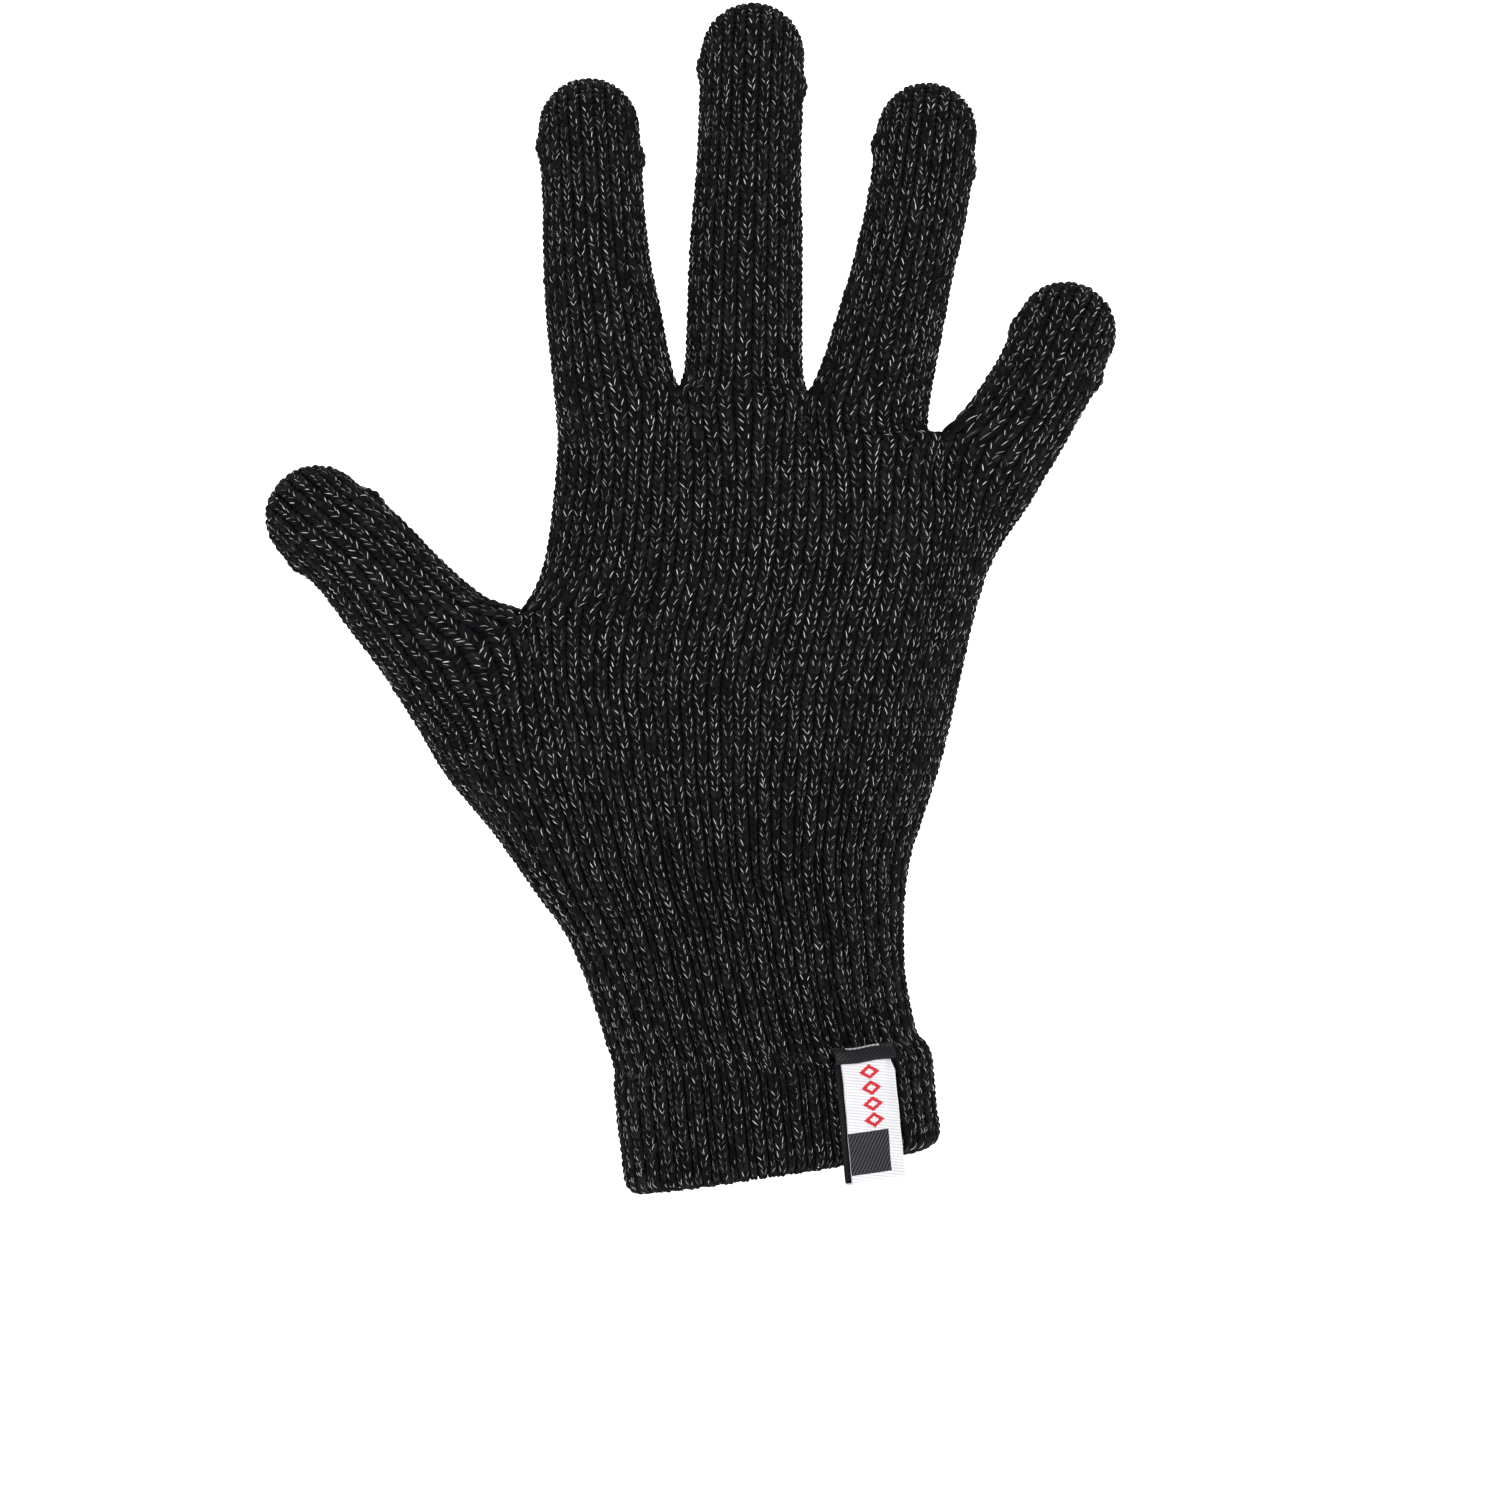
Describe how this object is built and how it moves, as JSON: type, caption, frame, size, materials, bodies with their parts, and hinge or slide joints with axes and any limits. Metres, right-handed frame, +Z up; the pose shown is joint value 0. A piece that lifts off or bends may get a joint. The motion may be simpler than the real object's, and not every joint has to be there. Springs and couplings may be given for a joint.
{
  "type": "knitted touchscreen glove",
  "caption": "Seamless black flat-knit glove with silver fleck yarn, fingers that bend at their creases, ribbed wrist, turned-up hem and a woven side label.",
  "frame": {"origin": "centre of the cuff opening, in the plane of the hem rim", "axes": "+Z up towards the fingertips, -Y the back of the hand, +Y the palm, -X the thumb side, +X the little-finger side"},
  "size_m": [0.1612, 0.0452, 0.226],
  "materials": {
    "knit": "brushed black flat knit with silver-grey fleck",
    "crease": "same knit, folded over a knuckle",
    "rib": "1x1 rib knit",
    "elastic": "covered elastic",
    "yarn": "black linking yarn",
    "label": "white woven satin",
    "satin": "dark satin tape"
  },
  "bodies": {
    "cuff": {"cuff_hem": "rib", "hem_elastic": "elastic", "linking_yarn": "yarn", "wrist_rib": "rib", "wrist_crease": "crease", "label_strip": "satin", "label_thread": "yarn"},
    "hand": {"hand_shell": "knit", "index_root_crease": "crease", "middle_root_crease": "crease", "ring_root_crease": "crease", "little_root_crease": "crease", "thumb_root_crease": "crease"},
    "index_tip_segment": {"index_tip": "knit"},
    "index_middle_segment": {"index_middle": "knit", "index_end_crease": "crease"},
    "index_base_segment": {"index_base": "knit", "index_middle_crease": "crease"},
    "middle_tip_segment": {"middle_tip": "knit"},
    "middle_middle_segment": {"middle_middle": "knit", "middle_end_crease": "crease"},
    "middle_base_segment": {"middle_base": "knit", "middle_middle_crease": "crease"},
    "ring_tip_segment": {"ring_tip": "knit"},
    "ring_middle_segment": {"ring_middle": "knit", "ring_end_crease": "crease"},
    "ring_base_segment": {"ring_base": "knit", "ring_middle_crease": "crease"},
    "little_tip_segment": {"little_tip": "knit"},
    "little_base_segment": {"little_base": "knit", "little_end_crease": "crease"},
    "thumb_tip_segment": {"thumb_tip": "knit"},
    "thumb_base_segment": {"thumb_base": "knit", "thumb_end_crease": "crease"},
    "label": {"label_loop": "label"}
  },
  "joints": [
    {"name": "wrist_bend", "type": "hinge", "parent": "cuff", "child": "hand", "pos_m": [-0.00947, 0, 0.0505], "axis": [-0.9978, 0, -0.0665], "range_deg": [-35, 35], "deforming": ["wrist_crease"]},
    {"name": "index_root_bend", "type": "hinge", "parent": "hand", "child": "index_base_segment", "pos_m": [-0.03231, 0.0035, 0.15281], "axis": [-0.9912, 0, -0.1322], "range_deg": [-12, 55], "deforming": ["index_root_crease"]},
    {"name": "index_middle_bend", "type": "hinge", "parent": "index_base_segment", "child": "index_middle_segment", "pos_m": [-0.0345, 0.0035, 0.16966], "axis": [-0.992, 0, -0.1262], "range_deg": [-5, 80], "deforming": ["index_middle_crease"]},
    {"name": "index_end_bend", "type": "hinge", "parent": "index_middle_segment", "child": "index_tip_segment", "pos_m": [-0.03575, 0.0035, 0.18862], "axis": [-0.9981, 0, -0.0624], "range_deg": [-5, 50], "deforming": ["index_end_crease"]},
    {"name": "middle_root_bend", "type": "hinge", "parent": "hand", "child": "middle_base_segment", "pos_m": [-0.00682, 0.0035, 0.15442], "axis": [-0.9999, 0, 0.0154], "range_deg": [-12, 55], "deforming": ["middle_root_crease"]},
    {"name": "middle_middle_bend", "type": "hinge", "parent": "middle_base_segment", "child": "middle_middle_segment", "pos_m": [-0.0063, 0.0035, 0.17892], "axis": [-0.9994, 0, 0.0333], "range_deg": [-5, 80], "deforming": ["middle_middle_crease"]},
    {"name": "middle_end_bend", "type": "hinge", "parent": "middle_middle_segment", "child": "middle_tip_segment", "pos_m": [-0.00553, 0.0035, 0.20191], "axis": [-0.9994, 0, 0.0343], "range_deg": [-5, 50], "deforming": ["middle_end_crease"]},
    {"name": "ring_root_bend", "type": "hinge", "parent": "hand", "child": "ring_base_segment", "pos_m": [0.01864, 0.0035, 0.15118], "axis": [-0.9706, 0, 0.2407], "range_deg": [-12, 55], "deforming": ["ring_root_crease"]},
    {"name": "ring_middle_bend", "type": "hinge", "parent": "ring_base_segment", "child": "ring_middle_segment", "pos_m": [0.0229, 0.0035, 0.16867], "axis": [-0.9732, 0, 0.23], "range_deg": [-5, 80], "deforming": ["ring_middle_crease"]},
    {"name": "ring_end_bend", "type": "hinge", "parent": "ring_middle_segment", "child": "ring_tip_segment", "pos_m": [0.02676, 0.0035, 0.18777], "axis": [-0.9917, 0, 0.1287], "range_deg": [-5, 50], "deforming": ["ring_end_crease"]},
    {"name": "little_root_bend", "type": "hinge", "parent": "hand", "child": "little_base_segment", "pos_m": [0.04273, 0.0035, 0.1376], "axis": [-0.8555, 0, 0.5178], "range_deg": [-12, 60], "deforming": ["little_root_crease"]},
    {"name": "little_end_bend", "type": "hinge", "parent": "little_base_segment", "child": "little_tip_segment", "pos_m": [0.05072, 0.0035, 0.15147], "axis": [-0.9076, 0, 0.4198], "range_deg": [-5, 70], "deforming": ["little_end_crease"]},
    {"name": "thumb_root_bend", "type": "hinge", "parent": "hand", "child": "thumb_base_segment", "pos_m": [-0.06507, 0.00647, 0.10084], "axis": [-0.623, 0.6, -0.5019], "range_deg": [-12, 40], "deforming": ["thumb_root_crease"]},
    {"name": "thumb_end_bend", "type": "hinge", "parent": "thumb_base_segment", "child": "thumb_tip_segment", "pos_m": [-0.07674, 0.00552, 0.11469], "axis": [-0.5858, 0.6, -0.5448], "range_deg": [-8, 60], "deforming": ["thumb_end_crease"]},
    {"name": "label_lift", "type": "hinge", "parent": "cuff", "child": "label", "pos_m": [0.01619, -0.02075, 0.02011], "axis": [-0.9059, -0.4102, -0.1056], "range_deg": [0, 110]}
  ],
  "couplings": [
    {"joint": "index_end_bend", "follows": "index_middle_bend", "ratio": 0.6},
    {"joint": "middle_end_bend", "follows": "middle_middle_bend", "ratio": 0.6},
    {"joint": "ring_end_bend", "follows": "ring_middle_bend", "ratio": 0.6}
  ]
}
